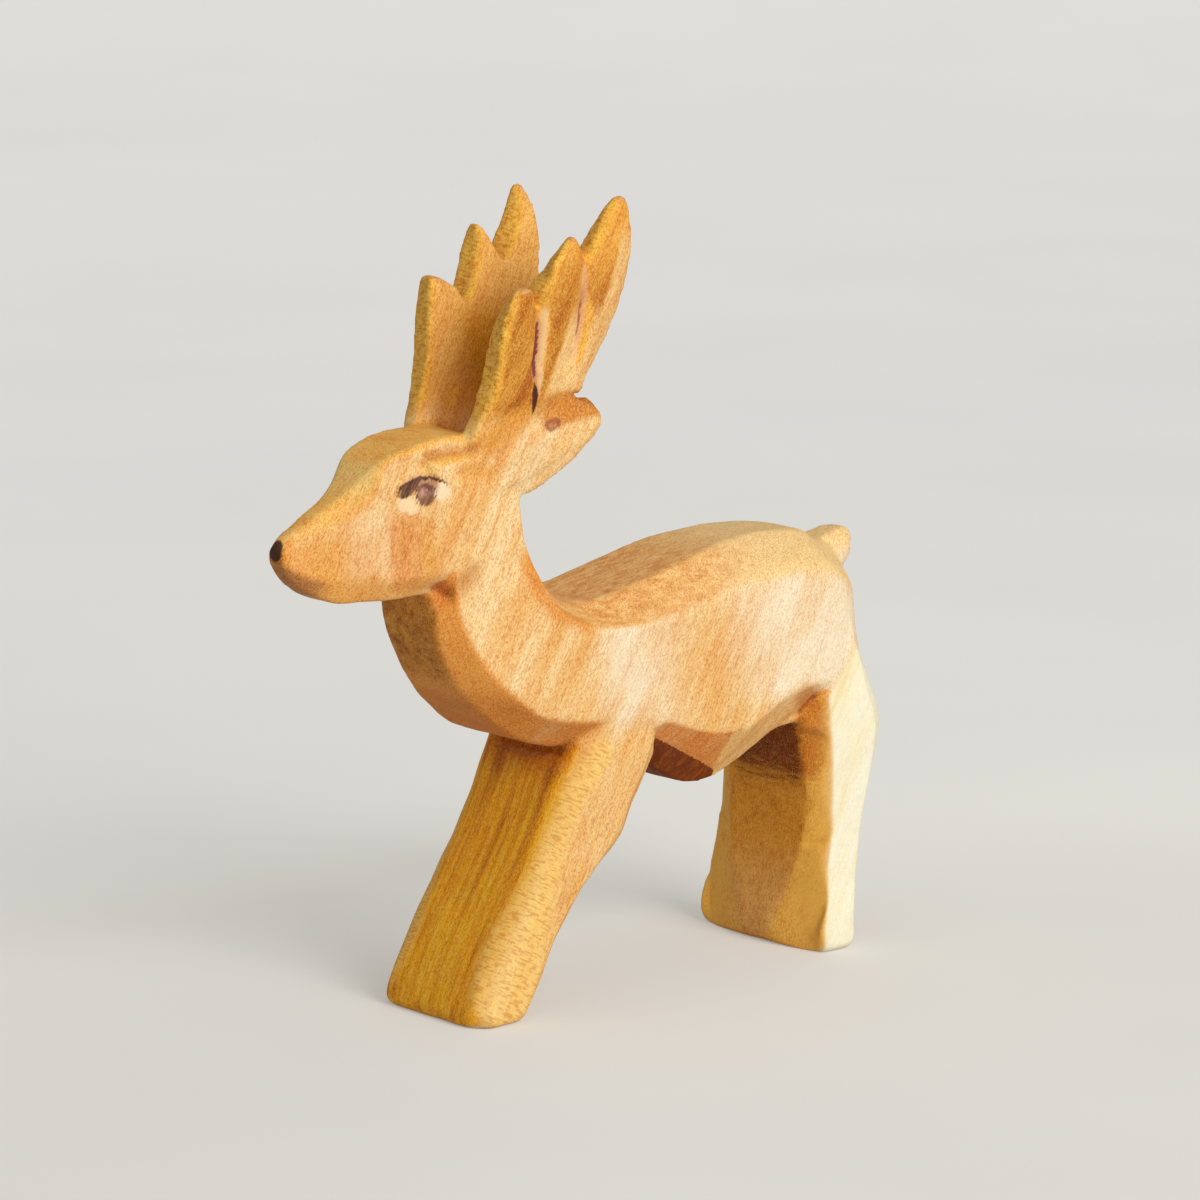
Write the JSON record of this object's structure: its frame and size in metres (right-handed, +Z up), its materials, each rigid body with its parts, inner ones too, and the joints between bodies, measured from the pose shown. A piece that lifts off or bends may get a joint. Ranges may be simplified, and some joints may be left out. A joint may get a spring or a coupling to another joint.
{
  "type": "deer figurine",
  "caption": "Hand-carved wooden stag standing on its legs, head held forward, with tined antlers over the ears and coloured eyes and nose; an ornament or toy animal.",
  "frame": {"origin": "on the ground, under the middle of the figurine's bounding box", "axes": "+Z up; -X is where the stag looks, nose to tail runs along X; +Y is the stag's right side"},
  "size_m": [0.123, 0.0306, 0.1303],
  "materials": {
    "oiled_wood": "oiled, satin, honey-coloured hardwood with fine pores",
    "eye_colour": "brown stain burnt and painted on wood, matt",
    "nose_colour": "black-brown stain on wood, satin"
  },
  "bodies": {
    "root": {"carved_deer": "oiled_wood", "left_eye": "eye_colour", "right_eye": "eye_colour", "nose_tip": "nose_colour"}
  },
  "joints": []
}
